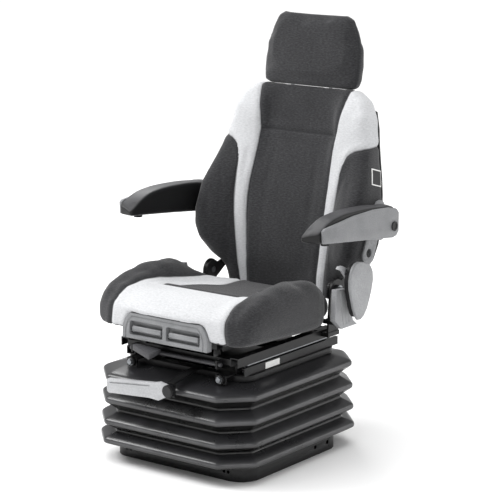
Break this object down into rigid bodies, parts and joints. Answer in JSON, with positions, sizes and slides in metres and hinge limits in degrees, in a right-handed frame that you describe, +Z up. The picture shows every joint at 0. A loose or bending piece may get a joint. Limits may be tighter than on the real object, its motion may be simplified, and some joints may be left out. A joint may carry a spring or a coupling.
{
  "type": "suspended machine seat",
  "caption": "Suspended machine seat with a bellows over a scissor base, slide rails, tilting and sliding cushion, reclining back, folding armrests and a headrest.",
  "frame": {"origin": "centre of the four floor bolts, on the underside of the base pan", "axes": "+Z up, the seat faces -Y, +X is the sitter's left"},
  "size_m": [0.6964, 0.7671, 1.1631],
  "materials": {
    "black_steel": "semi-gloss powder coat",
    "zinc": "zinc plated",
    "black_plastic": "fine grain",
    "grey_plastic": "fine grain",
    "pale_plastic": "satin",
    "rubber": "satin",
    "dark_fabric": "woven",
    "nylon": "satin",
    "grey_steel": "satin paint"
  },
  "bodies": {
    "base": {"base_pan": "black_steel", "lower_tracks": "black_steel", "lower_pins": "zinc", "lower_ears": "black_steel", "bump_stops": "rubber", "air_spring_piston": "black_plastic", "air_spring_bag": "rubber", "bellows": "rubber"},
    "upper": {"top_frame": "black_steel", "upper_tracks": "black_steel", "upper_pins": "zinc", "upper_ears": "black_steel", "front_brackets": "black_steel", "front_bolts": "zinc", "lower_rails": "black_steel", "lever_bracket": "black_steel"},
    "scissor_outer": {"outer_arms": "black_steel", "outer_shoes": "nylon"},
    "scissor_inner": {"inner_arms": "black_steel", "inner_shoes": "nylon"},
    "damper_body": {"damper_tube": "black_steel"},
    "damper_piston": {"damper_rod": "zinc"},
    "height_control": {"height_lever": "pale_plastic", "lever_hub": "black_plastic"},
    "carriage": {"upper_rails": "zinc", "seat_frame": "black_steel", "tilt_buffers": "rubber", "tilt_rod": "zinc", "recline_plates": "black_steel", "recline_shafts": "zinc", "lower_cover_left": "grey_plastic", "lower_cover_right": "grey_plastic", "hinge_cover": "grey_plastic"},
    "slide_release": {"slide_lever": "black_plastic"},
    "recline_release": {"recline_lever": "pale_plastic"},
    "tilting_frame": {"tilt_frame": "black_steel"},
    "cushion": {"seat_pan": "black_steel", "seat_cushion": "dark_fabric", "front_bezel": "grey_plastic"},
    "tilt_control": {"tilt_handle": "pale_plastic"},
    "depth_control": {"depth_handle": "pale_plastic"},
    "back": {"back_frame": "black_steel", "recline_arms": "black_steel", "back_cushion": "dark_fabric", "back_shell": "black_plastic", "post_sleeves": "black_plastic", "arm_bracket_left": "grey_steel", "arm_bracket_right": "grey_steel", "arm_bolts": "zinc", "pivot_caps": "black_plastic"},
    "headrest": {"headrest_posts": "zinc", "headrest_cushion": "dark_fabric"},
    "arm_left": {"armrest_cover_left": "grey_plastic", "armrest_pad_left": "black_plastic"},
    "arm_right": {"armrest_cover_right": "grey_plastic", "armrest_pad_right": "black_plastic"},
    "wheel_left": {"arm_wheel_left": "black_plastic"},
    "wheel_right": {"arm_wheel_right": "black_plastic"}
  },
  "joints": [
    {"name": "suspension", "type": "slide", "parent": "base", "child": "upper", "axis": [0, 0, 1], "range_m": [-0.1, 0], "stiffness_N_per_m": 8000, "springref_m": 0.08, "deforming": ["bellows", "air_spring_bag"]},
    {"name": "outer_scissor", "type": "hinge", "parent": "base", "child": "scissor_outer", "pos_m": [0, 0.19, 0.028], "axis": [1, 0, 0], "range_deg": [0, 16.87]},
    {"name": "inner_scissor", "type": "hinge", "parent": "upper", "child": "scissor_inner", "pos_m": [0, 0.19, 0.2435], "axis": [1, 0, 0], "range_deg": [-16.87, 0]},
    {"name": "damper_swing", "type": "hinge", "parent": "base", "child": "damper_body", "pos_m": [0.09, -0.15, 0.045], "axis": [1, 0, 0], "range_deg": [-17.29, 0]},
    {"name": "damper_stroke", "type": "slide", "parent": "damper_body", "child": "damper_piston", "axis": [0, 0.9003, 0.4352], "range_m": [-0.02995, 0]},
    {"name": "height_lever_turn", "type": "hinge", "parent": "upper", "child": "height_control", "pos_m": [0.05, -0.318, 0.244], "axis": [0, 1, 0], "range_deg": [-20, 12], "stiffness_Nm_per_rad": 6, "springref_deg": 1.15},
    {"name": "fore_aft", "type": "slide", "parent": "upper", "child": "carriage", "axis": [0, -1, 0], "range_m": [-0.075, 0.075]},
    {"name": "slide_lever_lift", "type": "hinge", "parent": "carriage", "child": "slide_release", "pos_m": [0, -0.228, 0.311], "axis": [-1, 0, 0], "range_deg": [0, 6], "stiffness_Nm_per_rad": 4, "springref_deg": -8.59},
    {"name": "recline_lever_lift", "type": "hinge", "parent": "carriage", "child": "recline_release", "pos_m": [0.29, 0.2, 0.44], "axis": [-1, 0, 0], "range_deg": [0, 22], "stiffness_Nm_per_rad": 2, "springref_deg": -11.46},
    {"name": "cushion_tilt", "type": "hinge", "parent": "carriage", "child": "tilting_frame", "pos_m": [0, 0.14, 0.333], "axis": [-1, 0, 0], "range_deg": [0, 8]},
    {"name": "cushion_depth", "type": "slide", "parent": "tilting_frame", "child": "cushion", "axis": [0, -0.999, 0.0454], "range_m": [0, 0.06]},
    {"name": "tilt_handle_pull", "type": "hinge", "parent": "cushion", "child": "tilt_control", "pos_m": [-0.062, -0.26377, 0.36935], "axis": [1, 0, 0], "range_deg": [0, 18], "stiffness_Nm_per_rad": 0.6, "springref_deg": -11.46},
    {"name": "depth_handle_pull", "type": "hinge", "parent": "cushion", "child": "depth_control", "pos_m": [0.062, -0.26377, 0.36935], "axis": [1, 0, 0], "range_deg": [0, 18], "stiffness_Nm_per_rad": 0.6, "springref_deg": -11.46},
    {"name": "recline", "type": "hinge", "parent": "carriage", "child": "back", "pos_m": [0, 0.2, 0.44], "axis": [-1, 0, 0], "range_deg": [-6, 28]},
    {"name": "headrest_height", "type": "slide", "parent": "back", "child": "headrest", "axis": [0, 0.1685, 0.9857], "range_m": [0, 0.06]},
    {"name": "armrest_left_fold", "type": "hinge", "parent": "back", "child": "arm_left", "pos_m": [0.314, 0.288, 0.618], "axis": [-1, 0, 0], "range_deg": [-10, 95]},
    {"name": "armrest_right_fold", "type": "hinge", "parent": "back", "child": "arm_right", "pos_m": [-0.314, 0.288, 0.618], "axis": [-1, 0, 0], "range_deg": [-10, 95]},
    {"name": "arm_wheel_left_turn", "type": "hinge", "parent": "arm_left", "child": "wheel_left", "pos_m": [0.3165, 0.0028, 0.612], "axis": [0, 0, 1], "range_deg": [-150, 150]},
    {"name": "arm_wheel_right_turn", "type": "hinge", "parent": "arm_right", "child": "wheel_right", "pos_m": [-0.3165, 0.0028, 0.612], "axis": [0, 0, 1], "range_deg": [-150, 150]}
  ],
  "couplings": [
    {"joint": "outer_scissor", "follows": "suspension", "rad_per_m": -2.9415},
    {"joint": "inner_scissor", "follows": "suspension", "rad_per_m": 2.9415},
    {"joint": "damper_swing", "follows": "suspension", "rad_per_m": 3.0134},
    {"joint": "damper_stroke", "follows": "suspension", "ratio": 0.29848}
  ]
}
